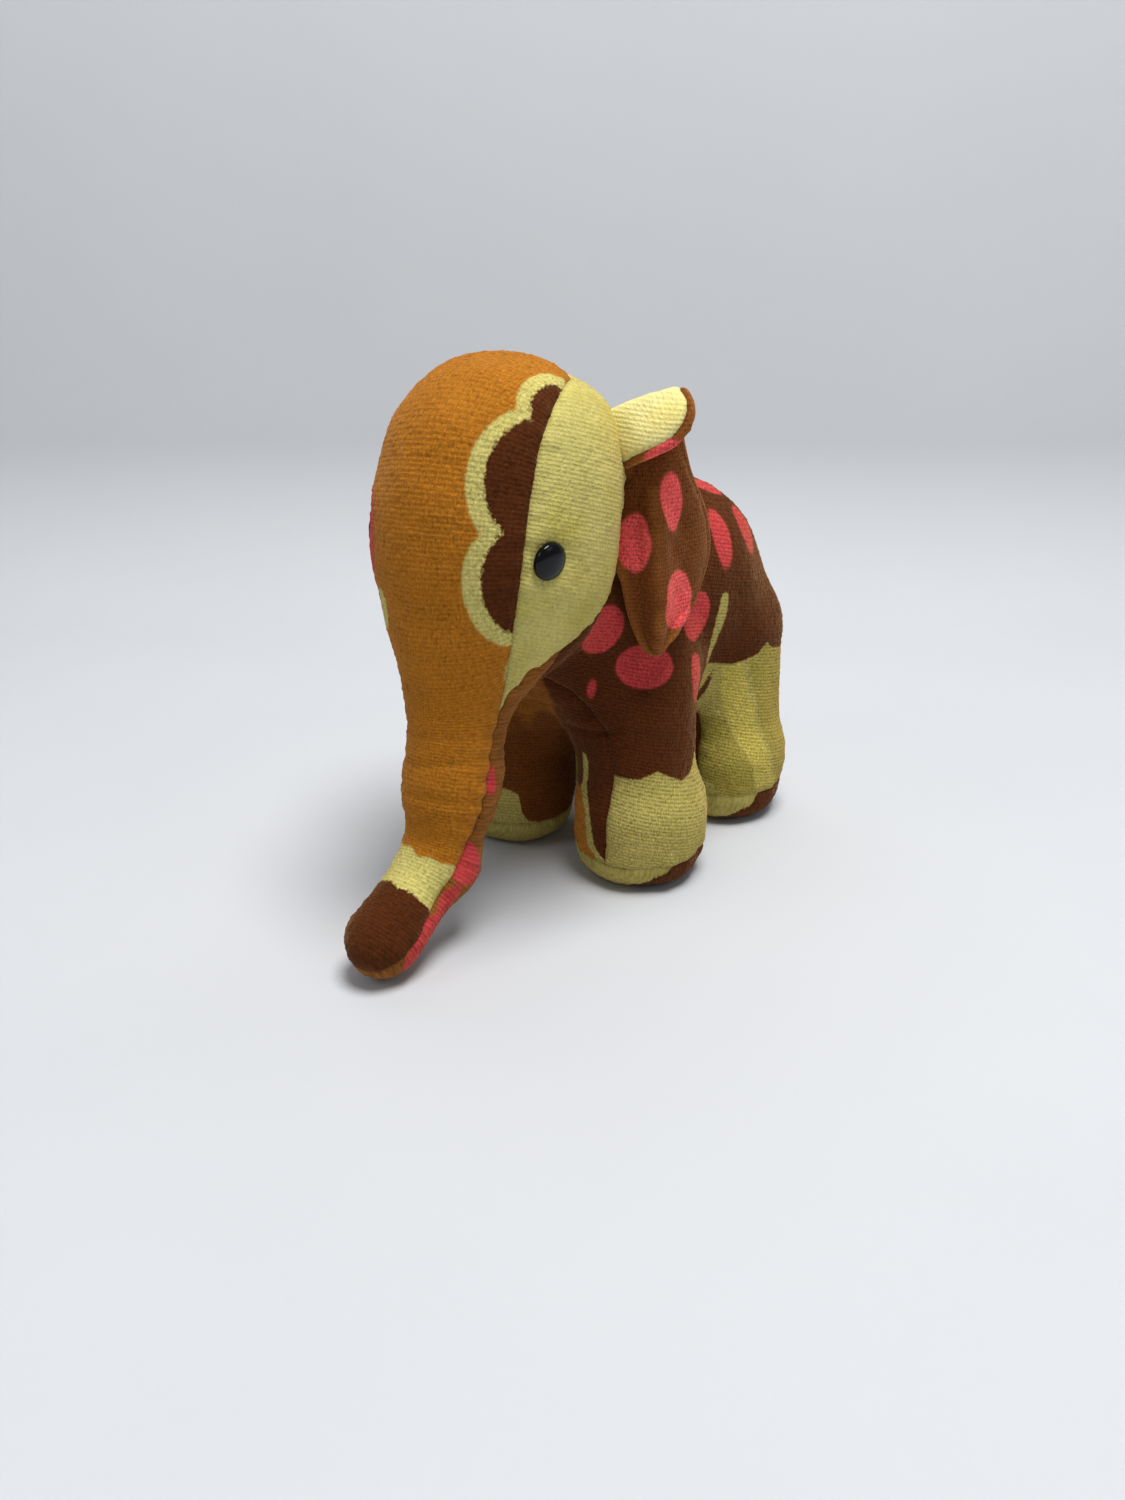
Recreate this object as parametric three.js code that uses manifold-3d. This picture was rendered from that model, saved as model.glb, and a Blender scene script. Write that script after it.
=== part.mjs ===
// A sewn and stuffed toy elephant, built as it is cut and assembled: fabric panels, stuffing,
// two-layer ears, a tail, and snap-in eyes with their washers.
// Millimetres, +Z up. The elephant faces -Y and its left side is +X. The origin is on the floor,
// in the middle of the whole toy's box.
import * as THREE from 'three';
import { mergeVertices } from 'three/addons/utils/BufferGeometryUtils.js';
import Module from 'manifold-3d';

const wasm = await Module();
wasm.setup();

// Driving dimensions. Y values here are measured from the line through the front feet.
const FLOOR_SHIFT = 9.2;       // moves the finished toy so that its box is centred on the origin
const SKIN = 1.5;              // fabric thickness
const GAP = 0.3;               // room kept between neighbouring pieces
const LEG_X = 28.5;            // centre of each foot, to the side
const LEG_SPREAD = 62.5;       // front feet to hind feet
const FOOT_RADIUS = 21.5;
const SOLE_RADIUS = 14.4;
const NECK_Y = -20;            // the seam where cheeks, ears and body meet
const THROAT_Y = -50;          // where the trunk's underside strip meets the body
const TRUNK_ROOT_Z = 84;       // where the head's stuffing ends and the trunk's begins
const EAR_HINGE = new THREE.Vector2(33.8, -20.5);
const EAR_LAYER = 1.7;
const EYE_RADIUS = 6;
const EYE_CENTRE = new THREE.Vector3(32.9, -59.6, 128.4);
const EYE_FACING = new THREE.Vector3(0.92, -0.39, 0.03).normalize();
const WIDE = 70;               // half length of every cutting prism

// Rings from the crown down the face and out along the trunk to its tip:
// height on the middle plane as [y, z], half width, half depth.
const HEAD_RINGS = [
  [-41, 180.5, 0, 0], [-41, 178, 17, 18.5], [-41, 170, 26.5, 29], [-41, 160, 32.5, 35.5],
  [-42, 146, 35.5, 39.5], [-42.5, 132, 36.5, 40], [-44.5, 118, 35.5, 38.5], [-47, 106, 32.5, 35.5],
  [-51.5, 96, 27, 31], [-58, 87, 21, 24], [-63.5, 77, 17, 19], [-68, 65, 15.5, 15.5],
  [-71, 52, 15, 15], [-73.5, 40, 13.5, 13.5], [-78, 29, 12.5, 12.5], [-86, 21.5, 12.3, 12.3],
  [-96, 17, 12.4, 12.4], [-105, 13.4, 12.4, 12.4], [-112, 10.4, 9, 9], [-116, 8.6, 0, 0],
];

// Rings from the chest to the rump.
const BODY_RINGS = [
  [-38, 105, 0, 0], [-36.5, 105, 9, 10], [-33, 104.5, 16, 19], [-27, 103, 24, 29],
  [-18, 100.5, 30, 37], [-7, 96, 33, 43], [6, 91, 36, 46.5], [20, 87, 39.5, 47.5],
  [36, 85, 41.5, 47], [52, 84, 41, 44], [66, 83.5, 37.5, 38.5], [77, 84, 29, 30],
  [85, 84.5, 18.5, 19.5], [89, 85, 8.5, 9], [90.5, 85, 0, 0],
];

// Rings from the sole up to the top of a leg: [inward lean, height, radius].
const LEG_RINGS = [
  [0, 0, 0], [0, 0, 15], [0, 1.6, 18.2], [0, 5.5, 20.7], [0, 12, FOOT_RADIUS],
  [0, 24, 21.3], [0.8, 38, 20.2], [3, 54, 20.6], [6, 66, 19.5], [9, 75, 15], [10, 80, 7.5], [10, 82, 0],
];

const fabric = (name, color) => ({ name, color, roughness: 0.95, metalness: 0 });
const ORANGE = fabric('orange velour', 0xb06a22);
const CREAM = fabric('cream velour', 0xd9cf86);
const BROWN = fabric('brown velour', 0x5e2c17);
const FIBRE = fabric('polyester fibre', 0xf1efe9);
const BLACK = { name: 'eye', color: 0x0c0c0d, roughness: 0.12, metalness: 0 };
const WASHER = { name: 'washer', color: 0xe6e6e2, roughness: 0.5, metalness: 0 };

// A closed three.js geometry as a solid that can be cut and joined.
function solid(geometry) {
  const bare = geometry.clone();
  bare.deleteAttribute('normal');
  bare.deleteAttribute('uv');
  const merged = mergeVertices(bare, 1e-4);
  const index = merged.index.array;
  const triangles = [];
  for (let i = 0; i < index.length; i += 3) {
    const [a, b, c] = index.slice(i, i + 3);
    if (a !== b && b !== c && c !== a) {
      triangles.push(a, b, c);
    }
  }
  const vertProperties = new Float32Array(merged.attributes.position.array);
  const triVerts = new Uint32Array(triangles);
  return new wasm.Manifold(new wasm.Mesh({ numProp: 3, vertProperties, triVerts }));
}

// A round form drawn through rings [x, y, z, half width, half depth]; the first and last are its ends.
// inset draws the same form that much smaller all round.
function form(rings, segments, inset = 0) {
  const profile = rings.map((ring, row) => new THREE.Vector2(ring[3] > 0 ? 1 : 0, row));
  const geometry = new THREE.LatheGeometry(profile, segments);
  const centres = rings.map(([x, y, z]) => new THREE.Vector3(x, y, z));
  const last = rings.length - 1;
  const position = geometry.attributes.position;
  for (let i = 0; i < position.count; i += 1) {
    const row = Math.round(position.getY(i));
    const before = centres[Math.max(row - 1, 0)];
    const after = centres[Math.min(row + 1, last)];
    const along = after.clone().sub(before).setX(0).normalize();
    const across = new THREE.Vector3(0, -along.z, along.y);
    const [, , , halfWidth, halfDepth] = rings[row];
    const point = centres[row].clone();
    point.x += position.getX(i) * Math.max(halfWidth - inset, 0);
    point.addScaledVector(across, position.getZ(i) * Math.max(halfDepth - inset, 0));
    if (row === 0) {
      point.addScaledVector(along, inset);
    }
    if (row === last) {
      point.addScaledVector(along, -inset);
    }
    position.setXYZ(i, point.x, point.y, point.z);
  }
  return solid(geometry);
}

const headForm = (inset) => form(HEAD_RINGS.map(([y, z, w, d]) => [0, y, z, w, d]), 20, inset);
const bodyForm = (inset) => form(BODY_RINGS.map(([y, z, w, d]) => [0, y, z, w, d]), 20, inset);

// The flat sole stays flat when the leg is inset: its lowest rings are lifted instead.
function legForm(side, y, inset) {
  const rings = LEG_RINGS.map(([lean, height, radius]) => {
    const z = Math.max(height, inset);
    return [side * (LEG_X - lean), y, z, radius, radius];
  });
  const start = rings[0];
  start[2] -= inset;
  return form(rings, 16, inset);
}

const LEGS = [
  { name: 'front_left', side: 1, y: 0 },
  { name: 'front_right', side: -1, y: 0 },
  { name: 'hind_left', side: 1, y: LEG_SPREAD },
  { name: 'hind_right', side: -1, y: LEG_SPREAD },
];

// A plate of a flat outline.
function plate(outline, depth) {
  return new THREE.ExtrudeGeometry(outline, { depth, bevelEnabled: false, curveSegments: 5 });
}

// A prism across the toy from an outline in (y, z), and one along it from an outline in (x, z).
function sidePrism(outline, from = -WIDE, to = WIDE) {
  const geometry = plate(outline, to - from);
  const turn = new THREE.Matrix4().makeBasis(
    new THREE.Vector3(0, 1, 0), new THREE.Vector3(0, 0, 1), new THREE.Vector3(1, 0, 0));
  geometry.applyMatrix4(turn);
  geometry.translate(from, 0, 0);
  return solid(geometry);
}

function frontPrism(outline, from, to) {
  const geometry = plate(outline, to - from);
  const turn = new THREE.Matrix4().makeBasis(
    new THREE.Vector3(1, 0, 0), new THREE.Vector3(0, 0, 1), new THREE.Vector3(0, -1, 0));
  geometry.applyMatrix4(turn);
  geometry.translate(0, to, 0);
  return solid(geometry);
}

function box(x0, x1, y0, y1, z0, z1) {
  const geometry = new THREE.BoxGeometry(x1 - x0, y1 - y0, z1 - z0);
  geometry.translate((x0 + x1) / 2, (y0 + y1) / 2, (z0 + z1) / 2);
  return solid(geometry);
}

const points = (list) => list.map(([a, b]) => new THREE.Vector2(a, b));

// The seam between the forehead and trunk panel and the cheeks, seen from the side.
function gussetOutline(back = 0, down = 0) {
  const shape = new THREE.Shape();
  shape.moveTo(-150, -20);
  shape.lineTo(-150, 220);
  shape.lineTo(NECK_Y - GAP + 2 * back, 220);
  shape.lineTo(NECK_Y - GAP + 2 * back, 173.5 - down);
  shape.splineThru(points([
    [-41, 172], [-56, 162], [-64, 146], [-69, 122], [-69, 106], [-65, 84], [-66, 70], [-72, 54],
    [-80, 33], [-94, 20], [-106, 12.5], [-130, 0],
  ].map(([y, z]) => [y + back, z - down])));
  shape.lineTo(-130 + back, -20);
  shape.closePath();
  return shape;
}

// The cheeks lie above this line: down the neck seam and forward under the chin.
function cheekOutline(back = 0, down = 0) {
  const shape = new THREE.Shape();
  shape.moveTo(-150, 78 - down);
  shape.lineTo(-150, 220);
  shape.lineTo(NECK_Y - GAP + back, 220);
  shape.lineTo(NECK_Y - GAP + back, 113 - down);
  shape.splineThru(points([[-27, 104], [-44, 98.5], [-57, 92], [-63.5, 82], [-66, 78]]
    .map(([y, z]) => [y + back, z - down])));
  shape.closePath();
  return shape;
}

// The belly panel with the insides of the legs, seen from the front.
function bellyOutline(grow = 0) {
  const shape = new THREE.Shape();
  const half = LEG_X + grow;
  shape.moveTo(-half, -10);
  shape.lineTo(half, -10);
  shape.lineTo(half, 48);
  shape.quadraticCurveTo(half - 3, 68, 0, 78 + grow);
  shape.quadraticCurveTo(3 - half, 68, -half, 48);
  shape.closePath();
  return shape;
}

function discAt(x, y, radius, z0, z1) {
  const geometry = new THREE.CylinderGeometry(radius, radius, z1 - z0, 24);
  geometry.rotateX(Math.PI / 2);
  geometry.translate(x, y, (z0 + z1) / 2);
  return solid(geometry);
}

// A round part turned on the eye's axis: profile points are [radius, distance out from the skin].
function onEyeAxis(profile, side, segments = 24) {
  const geometry = new THREE.LatheGeometry(points(profile), segments);
  const facing = EYE_FACING.clone();
  facing.x *= side;
  const turn = new THREE.Quaternion().setFromUnitVectors(new THREE.Vector3(0, 1, 0), facing);
  geometry.applyQuaternion(turn);
  geometry.translate(side * EYE_CENTRE.x, EYE_CENTRE.y, EYE_CENTRE.z);
  return solid(geometry);
}

// The whole outside less the whole inside leaves the fabric.
const union = (solids) => solids.reduce((sum, next) => sum.add(next));
const everyForm = (inset) => union([
  headForm(inset), bodyForm(inset), ...LEGS.map(({ side, y }) => legForm(side, y, inset)),
]);
const eyeHoles = union([1, -1].map((side) => onEyeAxis([[0, -14], [2.3, -14], [2.3, 9], [0, 9]], side)));
const skin = everyForm(0).subtract(everyForm(SKIN)).subtract(eyeHoles);

const trunkPanel = skin.intersect(sidePrism(gussetOutline()));
const behindGusset = skin.subtract(sidePrism(gussetOutline(GAP, GAP * 1.5)));
const cheeks = behindGusset.intersect(sidePrism(cheekOutline()));
const belowCheeks = behindGusset.subtract(sidePrism(cheekOutline(GAP, GAP)));
const underside = belowCheeks.intersect(box(-WIDE, WIDE, -150, THROAT_Y - GAP, -10, 220));
const soles = LEGS.map(({ side, y }) => discAt(side * LEG_X, y, SOLE_RADIUS, -1, SKIN + 1));
const soleHoles = LEGS.map(({ side, y }) => discAt(side * LEG_X, y, SOLE_RADIUS + GAP, -1, SKIN + 1));
const bodySkin = belowCheeks
  .intersect(box(-WIDE, WIDE, THROAT_Y, 120, -10, 220))
  .subtract(union(soleHoles));
const belly = bodySkin.intersect(frontPrism(bellyOutline(), THROAT_Y - 1, 120));
const sides = bodySkin.subtract(frontPrism(bellyOutline(GAP), THROAT_Y - 1, 120));

const half = (side) => (side > 0
  ? box(GAP / 2, WIDE, -150, 150, -10, 220)
  : box(-WIDE, -GAP / 2, -150, 150, -10, 220));

// Stuffing, packed region by region.
const FILL = SKIN + GAP;
const washerPocket = (side) => onEyeAxis([[0, -9], [6.6, -9], [6.6, 0], [0, 0]], side);
const stemPocket = (side) => onEyeAxis([[0, -14], [2.6, -14], [2.6, 0], [0, 0]], side);
const headFill = headForm(FILL)
  .intersect(box(-WIDE, WIDE, -150, 150, TRUNK_ROOT_Z, 220))
  .subtract(union([1, -1].flatMap((side) => [washerPocket(side), stemPocket(side)])));
const trunkFill = headForm(FILL).intersect(box(-WIDE, WIDE, -150, 150, -10, TRUNK_ROOT_Z - GAP));
const bodyFill = bodyForm(FILL).subtract(headForm(SKIN));
const legFill = ({ side, y }) => legForm(side, y, FILL).subtract(bodyForm(SKIN));

// An ear is a cupped flap of two layers sewn to the neck seam, with its top turned over outwards.
// In plan it runs out from the seam, turns at a soft ridge and lies back along the shoulder.
const EAR_PLAN = [[EAR_HINGE.x, EAR_HINGE.y], [42, -13.5], [45.6, -5], [46, 8.5]];

function earBand(side, from, to, z0, z1) {
  const path = new THREE.CatmullRomCurve3(EAR_PLAN.map(([x, y]) => new THREE.Vector3(x, y, 0)));
  const steps = 10;
  const edge = (offset) => path.getPoints(steps).map((point, i) => {
    const along = path.getTangent(i / steps);
    return new THREE.Vector2(point.x + along.y * offset, point.y - along.x * offset);
  });
  const outline = [...edge(from), ...edge(to).reverse()];
  const shape = new THREE.Shape(outline.map(({ x, y }) => new THREE.Vector2(x, -y)));
  const geometry = plate(shape, z1 - z0);
  geometry.scale(1, -1, -1);
  geometry.translate(0, 0, z1);
  const band = solid(geometry);
  return side > 0 ? band : band.mirror([1, 0, 0]);
}

// The free edge of the flap seen from the side: rounded at the bottom, narrowing to the top.
function earOutline(grow = 0) {
  const shape = new THREE.Shape();
  shape.moveTo(-24 - grow, 128);
  shape.splineThru(points([[-22 - grow, 106], [-18 - grow, 95], [-8, 90 - grow], [3, 94 - grow],
    [8.5 + grow, 108], [9 + grow, 124], [5 + grow, 139], [-2 + grow, 152], [-6 + grow, 168 + grow]]));
  shape.lineTo(-24 - grow, 168 + grow);
  shape.closePath();
  return shape;
}

// The turned-over top: a wedge that stands out from the seam in front of the flap.
function earTab(side) {
  const shape = new THREE.Shape(points([
    [0.6, 148.5], [0.6, 166], [8, 167.5], [16, 169.5], [19, 166], [16, 158], [9, 151.5],
  ]));
  const geometry = plate(shape, 2 * EAR_LAYER);
  geometry.rotateX(Math.PI / 2);
  geometry.rotateZ(THREE.MathUtils.degToRad(8));
  geometry.translate(EAR_HINGE.x - 2, EAR_HINGE.y + 1.4, 0);
  const tab = solid(geometry);
  return side > 0 ? tab : tab.mirror([1, 0, 0]);
}

function ear(side) {
  const tab = earTab(side);
  const outerBand = earBand(side, 0.15, EAR_LAYER, 80, 163);
  const outerRoom = earBand(side, -0.15, EAR_LAYER + GAP, 80, 163 + GAP);
  const outline = sidePrism(earOutline());
  const outer = outerBand.intersect(outline).subtract(earTabRoom(side));
  const inner = earBand(side, -EAR_LAYER, -0.15, 80, 168).intersect(outline);
  return { outer, inner: inner.add(tab).subtract(outerRoom) };
}

// The tab with room round it, for cutting the outer layer clear.
function earTabRoom(side) {
  const shift = [[-GAP, 0, 0], [0, GAP, 0], [0, -GAP, 0], [0, 0, -GAP]];
  return union(shift.map(([x, y, z]) => earTab(side).translate([x, y, z])));
}

const EARS = { left: ear(1), right: ear(-1) };

// A short flat tail hanging from the rump seam.
function tail() {
  const shape = new THREE.Shape();
  shape.moveTo(91.2, 93);
  shape.splineThru(points([
    [94.4, 92], [96.6, 82], [97.6, 66], [95.4, 60], [93, 66], [92.6, 82], [91.2, 93],
  ]));
  return sidePrism(shape, -4, 4);
}

const SNAP_EYE = [
  [0, -11], [1.8, -11], [1.8, 0.35], [EYE_RADIUS, 0.35], [5.7, 1.8], [4.6, 3.2], [2.6, 4.2], [0, 4.6],
];
const WASHER_RING = [[2.2, -4], [6.2, -4], [6.2, -2.6], [2.2, -2.6], [2.2, -4]];

const group = new THREE.Group();
group.position.y = FLOOR_SHIFT;

function place(name, piece, look) {
  const { vertProperties, triVerts } = piece.getMesh();
  const geometry = new THREE.BufferGeometry();
  geometry.setAttribute('position', new THREE.BufferAttribute(vertProperties, 3));
  geometry.setIndex(new THREE.BufferAttribute(triVerts, 1));
  geometry.computeVertexNormals();
  const { color, roughness, metalness } = look;
  const material = new THREE.MeshStandardMaterial({ color, roughness, metalness });
  material.name = look.name;
  const mesh = new THREE.Mesh(geometry, material);
  mesh.name = name;
  group.add(mesh);
}

place('forehead_trunk_panel', trunkPanel, ORANGE);
place('trunk_underside_panel', underside, BROWN);
place('belly_panel', belly, BROWN);
place('head_stuffing', headFill, FIBRE);
place('trunk_stuffing', trunkFill, FIBRE);
place('body_stuffing', bodyFill, FIBRE);
LEGS.forEach((leg, i) => {
  place(`sole_${leg.name}`, skin.intersect(soles[i]), CREAM);
  place(`leg_stuffing_${leg.name}`, legFill(leg), FIBRE);
});
for (const [name, side] of [['left', 1], ['right', -1]]) {
  place(`cheek_panel_${name}`, cheeks.intersect(half(side)), CREAM);
  place(`body_panel_${name}`, sides.intersect(half(side)), BROWN);
  place(`ear_outer_${name}`, EARS[name].outer, BROWN);
  place(`ear_inner_${name}`, EARS[name].inner, CREAM);
  place(`eye_${name}`, onEyeAxis(SNAP_EYE, side), BLACK);
  place(`eye_washer_${name}`, onEyeAxis(WASHER_RING, side), WASHER);
}
place('tail', tail(), BROWN);

export default group;
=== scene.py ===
"""The looks of a small stuffed elephant: a printed velour skin sewn from panels round its stuffing,
two-layer ears with turned-over tops, a tail and glossy snap-in eyes.

All shape code below works in millimetres in the toy's own frame: x to the elephant's left, y towards
its tail, z up, with the origin on the floor between its front feet. to_row() turns that into metres
in the row frame.
"""

import math

import bpy
import numpy as np
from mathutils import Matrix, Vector
from mathutils.kdtree import KDTree


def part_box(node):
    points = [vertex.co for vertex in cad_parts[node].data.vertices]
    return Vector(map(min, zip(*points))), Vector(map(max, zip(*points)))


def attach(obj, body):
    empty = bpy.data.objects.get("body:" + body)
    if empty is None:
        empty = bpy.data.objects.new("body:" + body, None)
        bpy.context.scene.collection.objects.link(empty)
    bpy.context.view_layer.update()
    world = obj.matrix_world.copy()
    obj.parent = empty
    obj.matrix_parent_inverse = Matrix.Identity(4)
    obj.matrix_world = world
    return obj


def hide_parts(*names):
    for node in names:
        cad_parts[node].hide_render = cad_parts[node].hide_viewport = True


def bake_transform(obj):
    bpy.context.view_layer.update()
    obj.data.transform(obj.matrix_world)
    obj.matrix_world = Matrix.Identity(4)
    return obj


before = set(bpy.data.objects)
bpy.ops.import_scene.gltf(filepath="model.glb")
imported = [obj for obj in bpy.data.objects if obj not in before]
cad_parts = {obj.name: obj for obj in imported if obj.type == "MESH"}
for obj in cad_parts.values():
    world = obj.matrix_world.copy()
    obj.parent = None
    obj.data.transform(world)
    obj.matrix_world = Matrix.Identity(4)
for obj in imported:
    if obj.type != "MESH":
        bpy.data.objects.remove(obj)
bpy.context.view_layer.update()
scene = bpy.context.scene

MM = 0.001
RNG = np.random.default_rng(7)


def middle(node):
    """The middle of a CAD node's box, in mm in the row frame."""
    low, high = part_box(node)
    return (np.array(low) + np.array(high)) / 2 / MM


FRONT_FOOT = middle("sole_front_left")
HIND_FOOT = middle("sole_hind_left")
FOOT_X = FRONT_FOOT[0]
ROW_Y = FRONT_FOOT[1]
HIND_Y = HIND_FOOT[1] - ROW_Y
LEG_RADIUS = 22.3
NECK_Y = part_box("cheek_panel_left")[1].y / MM - ROW_Y
EYE_AT = np.array([32.5, -60.6, 127.5])
EYE_FACING = np.array([0.97, -0.21, -0.1])
EYE_OUT = EYE_FACING / np.linalg.norm(EYE_FACING)
EYE_RADIUS = 5.7
VOXEL = 1.0
# A box round the whole stuffed form.
FORM_LOW = (-54, -120, -2.6)
FORM_HIGH = (54, 95, 184)
# A distance that is surely outside an ink or away from a seam.
FAR = 9.0


def to_row(points):
    """Toy millimetres to row metres."""
    return (np.asarray(points, float) + (0, ROW_Y, 0)) * MM


# -------- the stuffed form

def smooth_min(a, b, k):
    """The lower of two distances, rounded where they are within k of each other."""
    h = np.maximum(k - np.abs(a - b), 0) / k
    return np.minimum(a, b) - h * h * k / 4


def ellipsoid(p, centre, radii):
    """Distance from an egg-shaped form, nearly true close to its surface."""
    q = p - np.array(centre, np.float32)
    radii = np.array(radii, np.float32)
    k0 = np.linalg.norm(q / radii, axis=-1)
    k1 = np.linalg.norm(q / (radii * radii), axis=-1)
    return k0 * (k0 - 1) / np.maximum(k1, 1e-6)


def cone(p, start, end, start_radius, end_radius):
    """A tube with round ends whose radius changes evenly from one end to the other."""
    start, end = np.array(start, np.float32), np.array(end, np.float32)
    along = end - start
    t = np.clip(((p - start) @ along) / (along @ along), 0, 1)
    radius = start_radius + (end_radius - start_radius) * t
    return np.linalg.norm(p - start - t[..., None] * along, axis=-1) - radius


def drum(p, centre, radius, half_height, rounding):
    """An upright cylinder with rounded edges."""
    q = p - np.array(centre, np.float32)
    r = np.hypot(q[..., 0], q[..., 1]) - (radius - rounding)
    h = np.abs(q[..., 2]) - (half_height - rounding)
    return np.hypot(np.maximum(r, 0), np.maximum(h, 0)) + np.minimum(np.maximum(r, h), 0) - rounding


def mirrored(p):
    """The points as they lie on the left side."""
    q = p.copy()
    q[..., 0] = np.abs(q[..., 0])
    return q


def head_form(p):
    """Head and trunk: a tall egg that narrows into the trunk, whose tip turns forward on the floor."""
    q = mirrored(p)
    d = ellipsoid(q, (0, -41, 138), (35.5, 39.5, 41))
    d = smooth_min(d, ellipsoid(q, (0, -37.5, 151), (31, 34, 26.5)), 12)
    d = smooth_min(d, ellipsoid(q, (0, -48, 113), (31.5, 32, 33)), 22)
    d = smooth_min(d, cone(q, (0, -62, 95), (0, -70, 52), 18, 14), 14)
    d = smooth_min(d, cone(q, (0, -70, 52), (0, -75.5, 29), 14, 10.8), 8)
    return smooth_min(d, cone(q, (0, -75.5, 28), (0, -104.5, 12.6), 10.8, 12.1), 8)


def leg_form(q, y, top, top_radius, foot_rounding):
    """A left leg that stands at y, on a flat round foot."""
    leg = cone(q, top, (FOOT_X, y, 21), top_radius, 20)
    foot = drum(q, (FOOT_X, y, 18), LEG_RADIUS, 18, foot_rounding)
    return smooth_min(leg, foot, 8)


def body_form(p):
    """The body with a full rump, the shoulders and four stout legs with flat soles."""
    q = mirrored(p)
    d = ellipsoid(q, (0, 32, 87.5), (38, 54, 48.5))
    d = smooth_min(d, ellipsoid(q, (17, 43.5, 99.5), (25.5, 28, 25.5)), 15)
    d = smooth_min(d, ellipsoid(q, (0, -8, 106), (31, 30, 34)), 24)
    d = smooth_min(d, leg_form(q, -0.5, (22, 3, 66), 22, 11), 14)
    return smooth_min(d, leg_form(q, HIND_Y, (23, HIND_Y - 1, 72), 23.5, 11), 14)


def toy_form(p):
    """The whole stuffed form, flat where it stands on the floor."""
    d = smooth_min(head_form(p), body_form(p), 7)
    return -smooth_min(-d, p[..., 2], 2)


def slope(form, p, step=0.4):
    """The outward direction of a form at each point."""
    axes = np.eye(3, dtype=np.float32) * step
    g = np.stack([form(p + a) - form(p - a) for a in axes], -1)
    return g / np.maximum(np.linalg.norm(g, axis=-1, keepdims=True), 1e-6)


def surface_net(form, low, high, cell):
    """Quads over a form's zero surface: one vertex in each grid cell that it passes through."""
    counts = [int(math.ceil((b - a) / cell)) + 1 for a, b in zip(low, high)]
    axes = [np.arange(n, dtype=np.float32) * cell + a for n, a in zip(counts, low)]
    value = np.empty(counts, np.float32)
    for i, x in enumerate(axes[0]):
        y, z = np.meshgrid(axes[1], axes[2], indexing="ij")
        value[i] = form(np.stack([np.full_like(y, x), y, z], -1))
    inside = value < 0
    shape = tuple(n - 1 for n in counts)
    total = np.zeros(shape + (3,), np.float32)
    hits = np.zeros(shape, np.int32)
    for axis in range(3):
        others = [a for a in range(3) if a != axis]
        for corner in ((0, 0), (0, 1), (1, 0), (1, 1)):
            near = [slice(0, n) for n in shape]
            for a, c in zip(others, corner):
                near[a] = slice(c, c + shape[a])
            far = list(near)
            far[axis] = slice(1, 1 + shape[axis])
            va, vb = value[tuple(near)], value[tuple(far)]
            crossing = inside[tuple(near)] != inside[tuple(far)]
            t = np.where(crossing, va / np.where(crossing, va - vb, 1), 0)
            total[..., axis] += t
            for a, c in zip(others, corner):
                total[..., a] += np.where(crossing, c, 0)
            hits += crossing
    active = hits > 0
    number = np.full(shape, -1, np.int64)
    number[active] = np.arange(active.sum())
    where = np.argwhere(active)
    points = (where + total[active] / hits[active][:, None]) * cell + np.array(low)
    quads = []
    for axis in range(3):
        u, v = [a for a in range(3) if a != axis]
        near = [slice(1, n) for n in shape]
        near[axis] = slice(0, shape[axis])
        far = list(near)
        far[axis] = slice(1, 1 + shape[axis])
        a_in, b_in = inside[tuple(near)], inside[tuple(far)]
        for leaving in (True, False):
            found = np.argwhere((a_in & ~b_in) if leaving else (~a_in & b_in))
            found[:, u] += 1
            found[:, v] += 1
            ring = []
            for du, dv in ((-1, -1), (0, -1), (0, 0), (-1, 0)):
                cell_at = found.copy()
                cell_at[:, u] += du
                cell_at[:, v] += dv
                ring.append(number[tuple(cell_at.T)])
            quad = np.stack(ring, -1)
            forward = leaving != (axis == 1)
            quads.append(quad if forward else quad[:, ::-1])
    return points.astype(np.float64), np.concatenate(quads)


def settle(form, points, rounds=3):
    """Moves points onto the zero surface."""
    p = points.astype(np.float32)
    for _ in range(rounds):
        p = p - form(p)[:, None] * slope(form, p)
    return p.astype(np.float64)


# -------- seams

def curve(points, steps=12):
    """A smooth line through points, as closely spaced points."""
    p = np.array(points, float)
    p = np.vstack([2 * p[0] - p[1], p, 2 * p[-1] - p[-2]])
    t = np.linspace(0, 1, steps, endpoint=False)[:, None]
    spans = []
    for a, b, c, d in zip(p, p[1:], p[2:], p[3:]):
        spans.append(0.5 * (2 * b + (c - a) * t + (2 * a - 5 * b + 4 * c - d) * t ** 2
                            + (3 * b - a - 3 * c + d) * t ** 3))
    return np.vstack(spans + [p[-2]])


def beside(line, u, v):
    """For points in a line's plane: distance from it, negative on its right, and how far along it."""
    starts, ends = line[:-1], line[1:]
    lengths = np.hypot(*(ends - starts).T)
    best = np.full(len(u), 1e9)
    signed = np.zeros(len(u))
    along = np.zeros(len(u))
    travelled = 0.0
    for (au, av), (bu, bv), length in zip(starts, ends, lengths):
        du, dv = (bu - au) / length, (bv - av) / length
        t = np.clip((u - au) * du + (v - av) * dv, 0, length)
        gap = np.hypot(u - au - t * du, v - av - t * dv)
        side = du * (v - av) - dv * (u - au)
        closer = gap < best
        best = np.where(closer, gap, best)
        signed = np.where(closer, np.where(side < 0, -gap, gap), signed)
        along = np.where(closer, travelled + t, along)
        travelled += length
    return signed, along


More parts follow.
